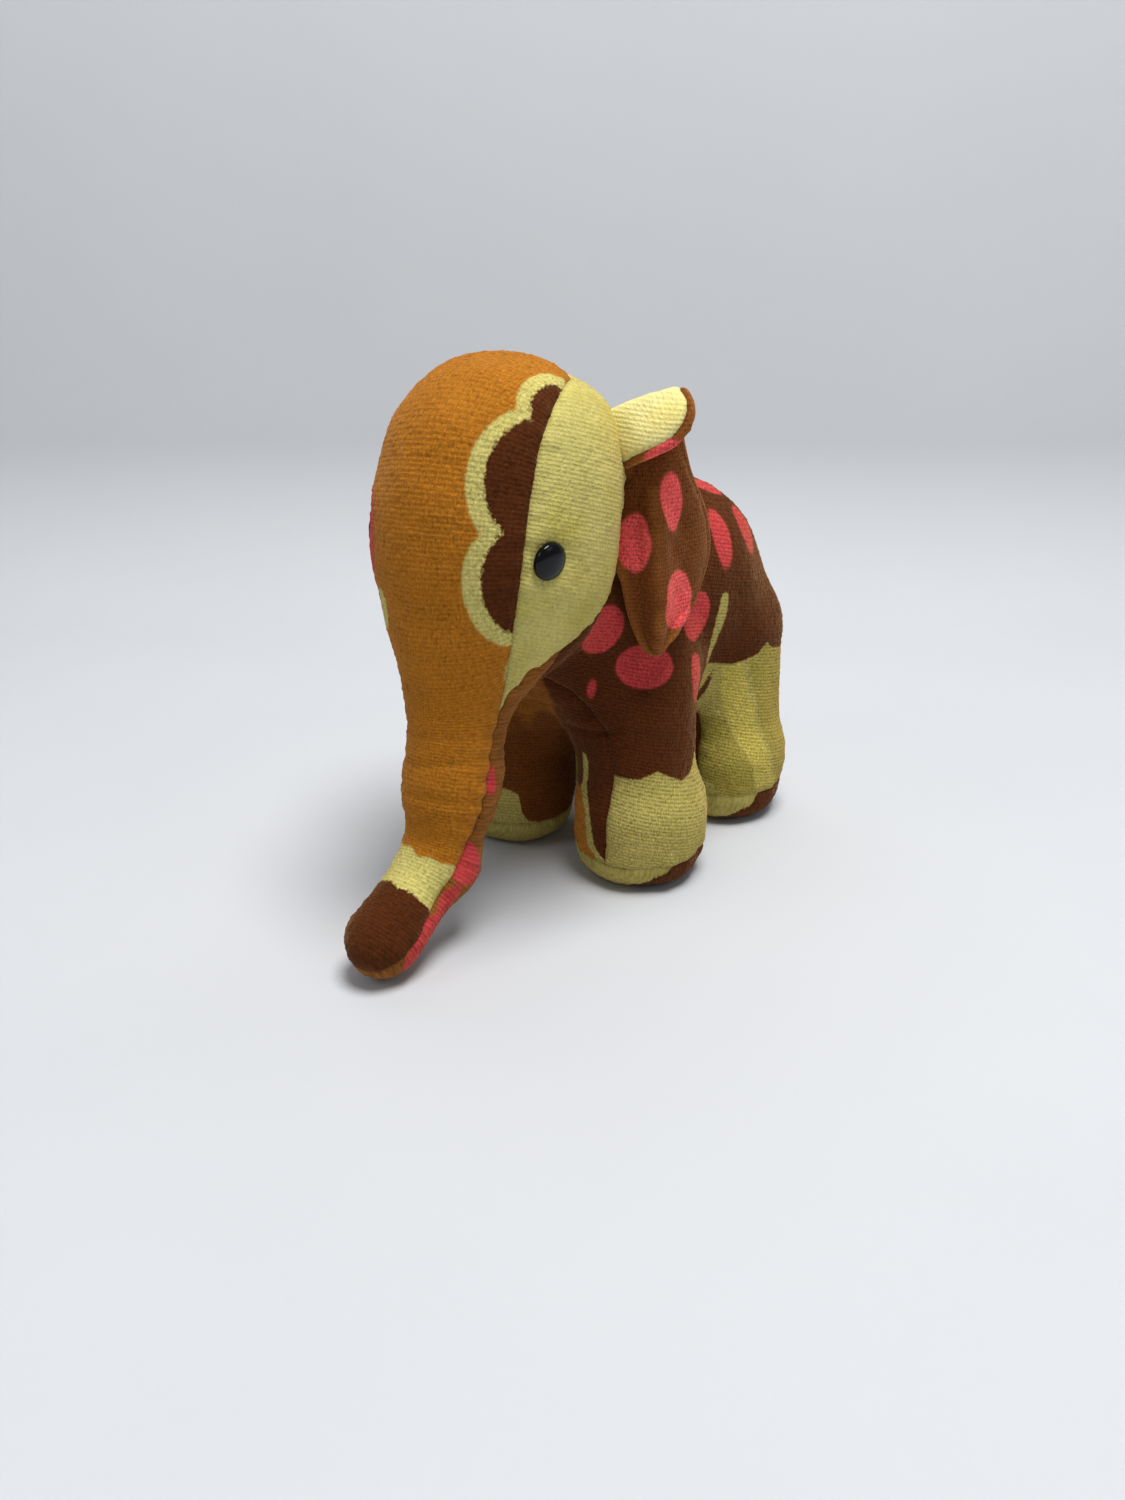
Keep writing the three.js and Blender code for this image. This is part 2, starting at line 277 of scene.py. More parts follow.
# Side-view seam lines as (y, z): the forehead and trunk panel's edge from the crown to the trunk's
# tip, and the cheek's lower edge from the neck seam under the chin to the trunk.
GUSSET_SEAM = curve([(30, 176), (-20, 175), (-41, 172.5), (-56, 162.5), (-64, 147), (-68.5, 128),
                     (-69.5, 113), (-68, 98), (-65, 84), (-66, 70), (-70.5, 55), (-78.5, 34),
                     (-94, 20), (-106, 12), (-135, -4)])
CHIN_SEAM = curve([(NECK_Y + 7, 260), (NECK_Y + 7, 176), (NECK_Y + 5, 164), (NECK_Y, 150), (NECK_Y, 138),
                   (NECK_Y - 0.5, 122), (-23, 108), (-42, 99.5), (-56, 92.5), (-62.5, 84), (-65.5, 78),
                   (-80, 60)])
# Where the trunk's underside panel meets the belly, in y.
THROAT_Y = -49.0
# The belly panel's edge as (x, z), from the sole up the leg and over the flank.
BELLY_SEAM = [(FOOT_X, 0), (FOOT_X, 46), (FOOT_X - 4, 60), (FOOT_X - 14, 71), (0, 77)]
# How high the soles' seams lie on the front and the hind feet, and how wide the seam allowance is.
SOLE_SEAM = (11.0, 13.5)
SKIRT = 2.4


# Each field below is negative on the panel that it cuts off.

def gusset_field(p):
    back = NECK_Y + np.interp(p[:, 2], [152, 170], [0, 7])
    return np.maximum(beside(GUSSET_SEAM, p[:, 1], p[:, 2])[0], p[:, 1] - back)


def cheek_field(p):
    return beside(CHIN_SEAM, p[:, 1], p[:, 2])[0]


def throat_field(p):
    return p[:, 1] - THROAT_Y


def belly_field(p):
    width, height = np.array(BELLY_SEAM, float).T
    edge = np.abs(p[:, 0]) - np.interp(p[:, 2], height, width, right=-20)
    return np.maximum(edge, -38 - p[:, 1])


def sole_field(p):
    return np.maximum(p[:, 2] - np.interp(p[:, 1], [20, 40], SOLE_SEAM), -32 - p[:, 1])


def middle_field(p):
    return p[:, 0]


class Faces:
    """Some faces of the skin: whole quads, and the odd-sided ones that a seam has cut."""

    def __init__(self, quads, cut=()):
        self.quads = quads
        self.cut = list(cut)


class Skin:
    """The skin's points, and the cuts that divide its faces into panels."""

    def __init__(self, points):
        self.points = points

    def cut(self, faces, field):
        """Divides faces along field's zero line into those below it and those above it."""
        value = field(self.points)
        value[np.abs(value) < 0.12 * VOXEL] = 0
        corner = value[faces.quads]
        low = (corner <= 0).all(1)
        high = (corner >= 0).all(1) & ~low
        below, above = Faces(faces.quads[low]), Faces(faces.quads[high])
        made, fresh = {}, []
        for face in [tuple(q) for q in faces.quads[~low & ~high]] + faces.cut:
            sides = [[], []]
            for a, b in zip(face, face[1:] + face[:1]):
                va, vb = value[a], value[b]
                if va <= 0:
                    sides[0].append(a)
                if va >= 0:
                    sides[1].append(a)
                if va * vb < 0:
                    key = (min(a, b), max(a, b))
                    if key not in made:
                        made[key] = len(self.points) + len(fresh)
                        t = va / (va - vb)
                        fresh.append(self.points[a] * (1 - t) + self.points[b] * t)
                    sides[0].append(made[key])
                    sides[1].append(made[key])
            if all(value[i] == 0 for i in face if i < len(value)):
                sides[1] = []
            if len(sides[0]) > 2 and any(value[i] < 0 for i in face):
                below.cut.append(tuple(sides[0]))
            if len(sides[1]) > 2 and any(value[i] > 0 for i in face):
                above.cut.append(tuple(sides[1]))
        if fresh:
            self.points = np.vstack([self.points, fresh])
        return below, above


def corners_of(faces):
    """Every face as a tuple of point numbers."""
    return [*map(tuple, faces.quads.tolist()), *faces.cut]


def edges_used_once(faces):
    """The directed border edges of some faces."""
    pairs = []
    for face in corners_of(faces):
        pairs.extend(zip(face, face[1:] + face[:1]))
    known = set(pairs)
    return [(a, b) for a, b in pairs if (b, a) not in known]


def waves(p, size, seed, count=9):
    """Smooth random ripples about size mm long, between about -1 and 1."""
    rng = np.random.default_rng(seed)
    total = np.zeros(len(p))
    for _ in range(count):
        direction = rng.normal(size=3)
        direction *= 2 * math.pi / size / np.linalg.norm(direction)
        total += np.sin(p @ direction + rng.uniform(0, 2 * math.pi))
    return total / math.sqrt(count)


def bell(distance, width):
    return np.exp(-(distance / width) ** 2)


def part_at(points, faces, keep):
    """The faces whose middle passes keep."""
    quad_ok = keep(points[faces.quads].mean(1))
    cut_ok = keep(np.array([points[list(f)].mean(0) for f in faces.cut])) if faces.cut else []
    return Faces(faces.quads[quad_ok], [f for f, ok in zip(faces.cut, cut_ok) if ok])


class Nearest:
    """Finds the nearest of some points."""

    def __init__(self, points):
        self.points = np.asarray(points, float)
        self.tree = KDTree(len(self.points))
        for i, p in enumerate(self.points):
            self.tree.insert(p, i)
        self.tree.balance()

    def find(self, points):
        """The nearest point to each of these, and how far off it is."""
        found = [self.tree.find(p)[1:] for p in points]
        which = np.array([f[0] for f in found])
        return self.points[which], np.array([f[1] for f in found])


# -------- printed patterns

def spot(p, centre, axis, half_long, half_wide):
    """Distance outside an oval spot, negative inside it."""
    axis = np.array(axis, float) / np.linalg.norm(axis)
    q = p - np.array(centre, float)
    t = q @ axis
    r = np.sqrt(np.maximum((q * q).sum(1) - t * t, 0))
    return (np.hypot(t / half_long, r / half_wide) - 1) * min(half_long, half_wide)


def streak(p, points, half_width):
    """Distance outside a stroke along some points."""
    best = np.full(len(p), 1e9)
    points = np.array(points, float)
    for a, b in zip(points[:-1], points[1:]):
        d = b - a
        t = np.clip((p - a) @ d / (d @ d), 0, 1)
        best = np.minimum(best, np.linalg.norm(p - a - t[:, None] * d, axis=1))
    return best - half_width


def spots(p, table):
    """Distance outside the nearest of several oval spots."""
    return np.min([spot(p, *row) for row in table], axis=0)


# The cloud border's cream edge and brown filling, as ovals on the rolled-out forehead panel: the middle
# and half sizes of each, measured along the panel from its rear end and across it from its middle.
CREAM_LOBES = [((77.5, 31), (17, 13.3)), ((104, 31), (20.5, 16.2)), ((133.5, 31), (20.5, 15)),
               ((168, 35), (17, 14.5))]
BROWN_LOBES = [((79.5, 31), (12, 9.6)), ((103, 32), (18, 12.8)), ((133, 33), (19, 12.4))]


def lobes(along, across, table):
    """Distance outside a row of those ovals, negative inside them."""
    return np.min([(np.hypot((along - a) / ra, (across - c) / rc) - 1) * min(ra, rc)
                   for (a, c), (ra, rc) in table], axis=0)


def forehead_inks(p):
    """Orange with a brown-filled cream cloud border along both seams, and a cream band and a brown
    tip at the trunk's end."""
    along = beside(GUSSET_SEAM, p[:, 1], p[:, 2])[1]
    across = np.abs(p[:, 0])
    cream = lobes(along, across, CREAM_LOBES)
    brown = lobes(along, across, BROWN_LOBES)
    wave = 1.1 * np.sin(p[:, 0] * 0.36 + 0.6) + 0.5 * np.sin(p[:, 0] * 0.95)
    band = 48.3 + 0.8 * p[:, 1] + 0.6 * p[:, 2] + wave
    tip = 0.945 * (p[:, 1] + 97.5) + 0.326 * (p[:, 2] - 29) + 0.6 * wave
    far = p[:, 0] < -2
    cream = np.where(far, spot(p, (-17, -77.5, 109), (0, 0, 1), 6.5, 4.6), cream)
    brown = np.where(far, FAR, brown)
    pink = spot(p, (-26, -72.5, 129), (0.1, 0.05, 1), 15, 8.6)
    return {"cream": np.minimum(cream, band), "brown": np.minimum(brown, tip), "pink": pink}


def cheek_inks(p):
    """The cheeks are plain."""
    return {}


UNDERSIDE_SPOTS = [
    ((15.8, -69.4, 58), (0, -0.2, 1), 6, 3),
    ((12.2, -78, 31), (0.1, -0.5, 1), 9, 6),
    ((11.4, -86, 20), (0, -0.8, -0.8), 7, 3.6),
    ((10.8, -96, 12), (0, -1, -0.5), 12, 6),
]


def underside_inks(p):
    """Pink spots on both edges of the trunk's underside."""
    return {"pink": spots(mirrored(p), UNDERSIDE_SPOTS)}


# The middle, direction and half sizes of each pink spot on the left side.
BODY_SPOTS = [
    ((36.5, 34, 115.5), (0.6, -0.3, -1), 11, 4.5),
    ((36.5, 51.5, 115), (0.7, -0.2, -1), 9.5, 5.5),
    ((21, 48, 129), (1, 0.9, -0.7), 7.5, 5),
    ((39, 16, 92.5), (0, 0.3, 1), 8.5, 7),
    ((26.5, -24, 96), (0.4, 0.2, 0.9), 9, 7.5),
    ((35, -10.5, 81.5), (0.6, 1, -0.1), 10.5, 7.5),
    ((42.5, 12, 72.5), (0.1, 0.1, 1), 9.5, 5.5),
    ((21.5, -22.5, 74), (0.2, 0, 1), 4, 1.5),
]
# The cream stroke down the flank.
CRESCENT = [(42, 30, 96), (41.5, 29.5, 91), (40.5, 28.5, 85), (37, 27, 73)]
# The top of the cream print as (y, z) on the hind leg and as (degrees round the leg, z) on the front one.
HIND_TOP = [(20, 73), (32, 70.5), (42, 67.5), (52, 69.5), (57, 73.5), (60, 70.5), (69, 68), (76, 70),
            (84, 68), (92, 72)]
FRONT_TOP = [(-100, 43.5), (-62, 43), (-42, 45.5), (-30, 43.5), (-8, 40), (12, 41), (30, 46), (60, 48)]
# The right side takes its print from this far off the left side's mirror image.
RIGHT_SHIFT = (0, 5, -2)


def body_inks(side):
    """Brown with pink spots, cream legs whose hind part has olive and yellow stripes, and a tan chest."""
    def inks(p):
        q = p * (side, 1, 1)
        if side < 0:
            q = q + RIGHT_SHIFT
        x, y, z = q.T
        pink = spots(q, BODY_SPOTS)
        crescent = streak(q, CRESCENT, 1)
        crescent -= np.interp(z, [74, 90, 97], [0.4, 1.6, 1.0])
        hind = z - np.interp(y, *zip(*HIND_TOP))
        hind = np.maximum(hind, 22.5 + 0.18 * (z - 47) + 1.3 * np.sin(0.45 * z) - y)
        turn = np.degrees(np.arctan2(y, x - FOOT_X))
        front = np.maximum(z - np.interp(turn, *zip(*FRONT_TOP)), y - 23)
        cream = np.minimum(np.minimum(crescent, hind), front)
        sliver = np.maximum(spot(q * (0, 1, 1), (0, 33.5, 55), (0, 0.1, 1), 11, 2.2), 20 - x)
        near = y + 0.25 * (z - 30)
        olive = np.minimum(np.maximum(np.abs(near - 42.5) - 5.2, z - 46), np.abs(near - 68) - 10)
        olive = np.maximum(olive, 26 - y)
        yellow = np.maximum(np.abs(near - 52) - 4.2, 26 - y)
        return {
            "foot": cream,
            "olive": np.maximum(np.maximum(olive, 14 - z), hind + 0.6),
            "yellow": np.maximum(np.maximum(yellow, 16 - z), hind + 0.6),
            "pink": pink,
            "tan": spot(p, (-10, -24, 68), (0, 0, 1), 19, 15.5),
            "brown": sliver,
        }
    return inks


# The top of the right front foot's cream, as (degrees round the leg, z), and the edges of the cream
# stripe on the left front leg, as (z, x).
INNER_TOP = [(-100, 28), (-60, 26.3), (-49, 23.9), (-46, 16.2), (-40, 12.3), (-31, 11.5), (-20, 8.1), (20, 6)]
STRIPE_INSIDE = [(8, 25.2), (12.4, 23.7), (16, 19.8), (28, 19.3), (34, 13.5), (44, 14.4), (50, 15)]
STRIPE_OUTSIDE = [(12, 29), (14, 26), (17, 23.6), (28, 21.9), (37, 17.1), (46, 17.7), (50, 16)]


def belly_inks(p):
    """Brown, rust and tan towards the chest, with cream feet and orange and cream on the left front leg."""
    x, y, z = p.T
    turn = np.degrees(np.arctan2(y, FOOT_X - np.abs(x)))
    wave = 1.2 * np.sin(x * 0.5 + y * 0.2) + 0.8 * np.sin(y * 0.45 - x * 0.3)
    far_edge = np.interp(turn, *zip(*INNER_TOP))
    cream = np.where((x < 0) & (y < 20), z - far_edge, z - 20 - wave)
    inside = np.interp(z, *zip(*STRIPE_INSIDE))
    outside = np.interp(z, *zip(*STRIPE_OUTSIDE))
    near = (x > 0) & (y < 20)
    cream = np.where(near, np.maximum(np.maximum(inside - x, x - outside), z - 48), cream)
    inner = np.where(near, np.maximum(x - inside, z - 34), FAR)
    rust = np.maximum(y - 12, x - 5 - 2 * wave)
    tan = np.maximum(rust, 58 - z + 2.5 * wave + 0.5 * x)
    return {"rust": rust, "tan": tan, "orange": inner, "foot": cream}


def sole_inks(p):
    """A brown patch on the outer rear of each sole."""
    x, y, z = p.T
    front = (z - 3.9 - 1.9 * (y + 16.2)) / 2
    hind = (z - 4.6 - 1.5 * (y - 46.9)) / 1.8
    patch = np.where(y < 30, front, hind)
    return {"brown": np.maximum(patch + 0.8 * np.sin(y * 0.9), 34 - np.abs(x))}


# -------- materials

ORANGE = (0.42, 0.152, 0.013)
CREAM = (0.57, 0.495, 0.155)
BROWN = (0.082, 0.0215, 0.0055)
PINK = (0.54, 0.053, 0.055)
OLIVE = (0.37, 0.30, 0.062)
YELLOW = (0.56, 0.455, 0.10)
# Painted shade: the next colour is CREAM darkened and yellowed, for the legs, feet, soles and the flank's
# cream stroke.
SHADED_CREAM = (0.45, 0.375, 0.105)
PALE = (0.86, 0.77, 0.33)
RUST = (0.155, 0.048, 0.010)
TAN = (0.25, 0.085, 0.012)
STRAW = (0.84, 0.72, 0.26)
# Painted light: the ear's outside takes the next colour, BROWN painted about twice as light, as its ground.
LIT_EAR_BROWN = (0.16, 0.047, 0.011)
# Painted highlight: a lighter brown for the ridge of the ear's fold and its free edge.
PAINTED_HIGHLIGHT_BROWN = (0.31, 0.108, 0.024)
# Painted light: the next colour is PINK painted about 1.6 times as light, for the spots on the ear's outside.
LIT_PINK = (0.85, 0.105, 0.105)
UNDERSIDE_BROWN = (0.25, 0.09, 0.018)
INKS = {"orange": ORANGE, "cream": CREAM, "brown": BROWN, "pink": PINK, "olive": OLIVE, "yellow": YELLOW,
        "foot": SHADED_CREAM, "rust": RUST, "tan": TAN, "straw": STRAW,
        "painted_highlight": PAINTED_HIGHLIGHT_BROWN, "lit_pink": LIT_PINK}
# How far to each side of its edge an ink fades out, in mm, and the inks that fade further than that.
EDGE = 0.35
SOFT_EDGES = {"rust": 1.6, "tan": 2.2, "straw": 2.0, "painted_highlight": 1.2}
# The spacing of the pile's rows and of the stitches along a row, in mm.
RIB = 1.28
WALE = 1.0


class Shader:
    """A material's node tree, and short ways to add to it."""

    def __init__(self, name):
        self.material = bpy.data.materials.new(name)
        self.material.use_nodes = True
        self.tree = self.material.node_tree
        self.tree.nodes.clear()
        self.out = self.node("ShaderNodeOutputMaterial")
        self.surface = self.node("ShaderNodeBsdfPrincipled")
        self.link(self.surface.outputs["BSDF"], self.out.inputs["Surface"])

    def node(self, kind, **settings):
        made = self.tree.nodes.new(kind)
        for key, value in settings.items():
            setattr(made, key, value)
        return made

    def link(self, a, b):
        self.tree.links.new(a, b)

    def put(self, socket, value):
        if isinstance(value, bpy.types.NodeSocket):
            self.link(value, socket)
        else:
            socket.default_value = value

    def math(self, operation, *values):
        made = self.node("ShaderNodeMath", operation=operation)
        for socket, value in zip(made.inputs, values):
            self.put(socket, value)
        return made.outputs[0]

    def attribute(self, name):
        return self.node("ShaderNodeAttribute", attribute_name=name).outputs["Fac"]

    def noise_at(self, where, scale, detail=2.0, rough=0.5):
        made = self.node("ShaderNodeTexNoise")
        for name, value in (("Vector", where), ("Scale", scale), ("Detail", detail), ("Roughness", rough)):
            self.put(made.inputs[name], value)
        return made.outputs["Fac"]

    def noise(self, size_mm, detail=2.0, rough=0.5):
        """Noise with features of about this size, around 0.5."""
        where = self.node("ShaderNodeTexCoord").outputs["Object"]
        return self.noise_at(where, 1 / (size_mm * MM), detail, rough)

    def woven_noise(self, across, along):
        """Noise whose grains lie along the rows of pile, around 0.5."""
        where = self.node("ShaderNodeCombineXYZ")
        self.link(self.math("DIVIDE", self.attribute("rib"), across), where.inputs[0])
        self.link(self.math("DIVIDE", self.attribute("wale"), along), where.inputs[1])
        return self.noise_at(where.outputs[0], 1.0)

    def mix(self, factor, a, b, blend="MIX"):
        made = self.node("ShaderNodeMix", data_type="RGBA", blend_type=blend)
        self.put(made.inputs["Factor"], factor)
        self.put(made.inputs["A"], a if not isinstance(a, tuple) else (*a, 1))
        self.put(made.inputs["B"], b if not isinstance(b, tuple) else (*b, 1))
        return made.outputs["Result"]

    def swing(self, value, size):
        """A value around 0.5 made into one around 0, size times as strong."""
        return self.math("MULTIPLY", self.math("SUBTRACT", value, 0.5), size)

    def rows(self, attribute, spacing, wobble):
        turns = self.math("MULTIPLY", self.attribute(attribute), 2 * math.pi / spacing)
        return self.math("SINE", self.math("ADD", turns, wobble))

    def bump(self, height, strength, reach_mm):
        made = self.node("ShaderNodeBump")
        made.inputs["Strength"].default_value = strength
        made.inputs["Distance"].default_value = reach_mm * MM
        self.link(height, made.inputs["Height"])
        self.link(made.outputs[0], self.surface.inputs["Normal"])

    def finish(self, settings):
        """Sets the surface's inputs, from values or from other nodes, and gives the material."""
        for name, value in settings.items():
            self.put(self.surface.inputs[name], value)
        return self.material

    def ramp(self, value, low, high, to_low=0.0, to_high=1.0):
        made = self.node("ShaderNodeMapRange")
        self.put(made.inputs["Value"], value)
        for socket, number in zip(("From Min", "From Max", "To Min", "To Max"), (low, high, to_low, to_high)):
            made.inputs[socket].default_value = number
        return made.outputs["Result"]


def velour(name, ground, inks=(), grid=0.25, contrast=1.0, stain=0.5):
    """Ribbed knit velour: short pile in rows, printed with inks whose edges bleed a little."""
    s = Shader(name)
    pile = s.noise(0.5, 3.0, 0.6)
    tuft = s.woven_noise(1.25, 1.0)
    patch = s.noise(9.0, 2.0)
    bleed = s.math("ADD", s.swing(tuft, 1.9), s.swing(pile, 0.8))
    colour = s.node("ShaderNodeRGB").outputs[0]
    colour.default_value = (*ground, 1)
    for ink in inks:
        edge = s.math("ADD", s.attribute("print_" + ink), bleed)
        soft = SOFT_EDGES.get(ink, EDGE)
        colour = s.mix(s.ramp(edge, -soft, soft, 1.0, 0.0), colour, INKS[ink])
    faded = s.ramp(s.noise(14.0, 2.0), 0.45, 0.75)
    colour = s.mix(s.math("MULTIPLY", faded, stain), colour, (0.90, 0.90, 0.66), "MULTIPLY")
    wobble = s.swing(tuft, 1.6)
    rib = s.rows("rib", RIB, wobble)
    wale = s.rows("wale", WALE, wobble)
    weave = s.math("ADD", s.math("MULTIPLY", rib, 1 - grid), s.math("MULTIPLY", wale, grid))
    shade = s.math("ADD", s.math("MULTIPLY", weave, 0.095 * contrast), s.swing(pile, 0.85 * contrast))
    shade = s.math("ADD", shade, s.swing(tuft, 0.8 * contrast))
    shade = s.math("ADD", shade, s.swing(patch, 0.35))
    # Painted shade: the colour darkens towards a seam, to 0.78 of itself at the seam, over the 1.2 mm where
    # the fabric dips into the seam's groove.
    shade = s.math("ADD", shade, s.ramp(s.attribute("seam"), 0.0, 1.2, 0.78, 1.0))
    grey = s.node("ShaderNodeCombineColor")
    for socket in grey.inputs[:3]:
        s.link(shade, socket)
    height = s.math("ADD", s.math("MULTIPLY", weave, 0.22), s.math("MULTIPLY", pile, 0.8))
    height = s.math("ADD", height, s.math("MULTIPLY", tuft, 1.3))
    s.bump(height, 0.6, 0.45)
    return s.finish({
        "Base Color": s.mix(1.0, colour, grey.outputs[0], "MULTIPLY"),
        "Roughness": 0.92,
        "Specular IOR Level": 0.06,
        "Sheen Weight": 0.28,
        "Sheen Roughness": 0.4,
        "Sheen Tint": (1.0, 0.55, 0.25, 1),
    })


def fibre():
    """Loose white stuffing."""
    s = Shader("fibre")
    tangle = s.noise(1.4, 4.0, 0.7)
    s.bump(tangle, 0.8, 1.0)
    return s.finish({"Base Color": s.mix(tangle, (0.68, 0.67, 0.63), (0.92, 0.91, 0.88)), "Roughness": 1.0})


def plastic(name, colour, roughness):
    """Plain moulded plastic."""
    looks = {"Base Color": (*colour, 1), "Roughness": roughness, "Specular IOR Level": 0.25}
    return Shader(name).finish(looks)


def paper():
    """The plain pale sheet that the toy stands on."""
    s = Shader("pale_paper")
    colour = s.mix(s.noise(120.0, 2.0), (0.60, 0.612, 0.63), (0.63, 0.642, 0.66))
    return s.finish({"Base Color": colour, "Roughness": 0.85, "Specular IOR Level": 0.2})


# -------- pieces

def placed(name, data):
    """A new object in the scene."""
    made = bpy.data.objects.new(name, data)
    scene.collection.objects.link(made)
    return made


def show(name, points, faces, material, attributes=(), in_row_frame=False):
    """A mesh object from points in toy millimetres, or in row metres."""
    mesh = bpy.data.meshes.new(name)
    where = points if in_row_frame else to_row(points)
    mesh.from_pydata(where.tolist(), [], [list(map(int, f)) for f in faces])
    mesh.materials.append(material)
    for key, values in dict(attributes).items():
        layer = mesh.attributes.new(key, "FLOAT", "POINT")
        layer.data.foreach_set("value", np.asarray(values, np.float32))
    mesh.shade_smooth()
    mesh.update()
    return placed(name, mesh)


def cloth_piece(name, points, normals, faces, attributes, material, skirt=SKIRT):
    """One cut piece of the skin, its edges turned inwards as seam allowance."""
    border = edges_used_once(faces)
    loops = corners_of(faces)
    used = np.unique(np.fromiter((i for f in loops for i in f), np.int64))
    number = {int(i): k for k, i in enumerate(used)}
    rim = sorted({i for edge in border for i in edge})
    turned = {i: len(used) + k for k, i in enumerate(rim)}
    rim = np.array(rim)
    where = np.vstack([points[used], points[rim] - normals[rim] * skirt])
    loops = [[number[int(i)] for i in f] for f in loops]
    loops += [[number[int(b)], number[int(a)], turned[a], turned[b]] for a, b in border]
    values = {key: np.concatenate([v[used], v[rim]]) for key, v in attributes.items()}
    made = show(name, where, loops, material, values)
    return made


def sewn_skin():
    """Cuts the stuffed form's surface along the seams into the panels, and finds each point's direction and
    distance from the nearest seam.
    """
    points, quads = surface_net(toy_form, FORM_LOW, FORM_HIGH, VOXEL)
    skin = Skin(settle(toy_form, points))
    parts = {}
    parts["forehead_trunk"], rest = skin.cut(Faces(quads), gusset_field)
    cheeks, rest = skin.cut(rest, cheek_field)
    parts["trunk_underside"], rest = skin.cut(rest, throat_field)
    soles, rest = skin.cut(rest, sole_field)
    parts["belly"], sides = skin.cut(rest, belly_field)
    parts["body_right"], parts["body_left"] = skin.cut(sides, middle_field)
    p = skin.points
    for name, side in (("left", 1), ("right", -1)):
        parts["cheek_" + name] = part_at(p, cheeks, lambda m: m[:, 0] * side > 0)
        for end, y in (("front", 0), ("hind", HIND_Y)):
            near = lambda m: (m[:, 0] * side > 0) & (np.abs(m[:, 1] - y) < 28)
            parts[f"sole_{end}_{name}"] = part_at(p, soles, near)
    seam_points = {i for part in parts.values() for edge in edges_used_once(part) for i in edge}
    closest, seam = Nearest(p[sorted(seam_points)]).find(p)
    normals = slope(toy_form, p.astype(np.float32)).astype(np.float64)
    return p, normals, parts, closest, seam


# Creases across the trunk's front, as (height, lean, depth), and across the chest, as (middle in x, height).
TRUNK_CREASES = [(63.5, 0.10, 0.55), (54.0, -0.12, 0.5), (45.5, 0.08, 0.45), (72.5, -0.05, 0.35)]
CHEST_CREASES = [(-14, 57), (-14, 49), (16, 55), (-5, 69), (-6, 63)]


def puffed(p, normals, closest, seam):
    """Sewn relief: grooves and gathers at the seams, creases in the trunk and chest, uneven filling."""
    x, y, z = p.T
    depth = np.where(z < 17, 0.4, 1)
    push = -depth * (0.75 * bell(seam, 1.3) + 0.55 * bell(seam, 4.5))
    push += 0.32 * waves(closest, 7, 3) * bell(seam - 1.5, 3.5)
    push += 0.5 * waves(p, 46, 4) + 0.22 * waves(p, 19, 5)
    front = np.clip((-50 - y) / 12, 0, 1)
    for height, lean, depth in TRUNK_CREASES:
        push -= depth * front * bell(z - height - lean * x - 0.8 * np.sin(x * 0.25), 1.5)
    for middle_x, height in CHEST_CREASES:
        near = bell(x - middle_x, 12) * bell(y + 17, 14)
        push -= 0.95 * near * bell(z - height - 0.12 * x, 1.5)
    for side in (1, -1):
        q = p * (side, 1, 1) - EYE_AT
        out = q @ EYE_OUT
        across = np.sqrt(np.maximum((q * q).sum(1) - out * out, 0))
        push -= np.where(np.abs(out) < 12, 0.9 * bell(np.maximum(across - 4.5, 0), 3.0), 0)
    push += 0.13 * RNG.normal(size=len(p)) * np.clip(seam / 1.5, 0.3, 1)
    push = np.where((z < 1.2) & (push > 0), push * 0.1, push)
    moved = p + normals * push[:, None]
    moved[:, 2] = np.maximum(moved[:, 2], 0.02)
    return moved


fabric = {
    "forehead": velour("velour_forehead", ORANGE, ("cream", "brown", "pink"), 0.3, 1.3),
    "cheek": velour("velour_cheek", CREAM, (), 0.15, 0.75, 1.0),
    "underside": velour("velour_underside", UNDERSIDE_BROWN, ("pink",), 0.2, 1.6),
    "body": velour("velour_body", BROWN, ("tan", "foot", "yellow", "olive", "pink", "brown"), 0.15, 1.7),
    "belly": velour("velour_belly", BROWN, ("rust", "tan", "orange", "foot"), 0.15, 1.6),
    "sole": velour("velour_sole", SHADED_CREAM, ("brown",), 0.2),
    "ear_outer": velour("velour_ear_outer", LIT_EAR_BROWN, ("painted_highlight", "lit_pink"), 0.3, 1.9),
    "ear_inner": velour("velour_ear_inner", PALE, ("straw",), 0.1, 0.65),
    "tail": velour("velour_tail", BROWN, (), 0.2, 1.6),
}


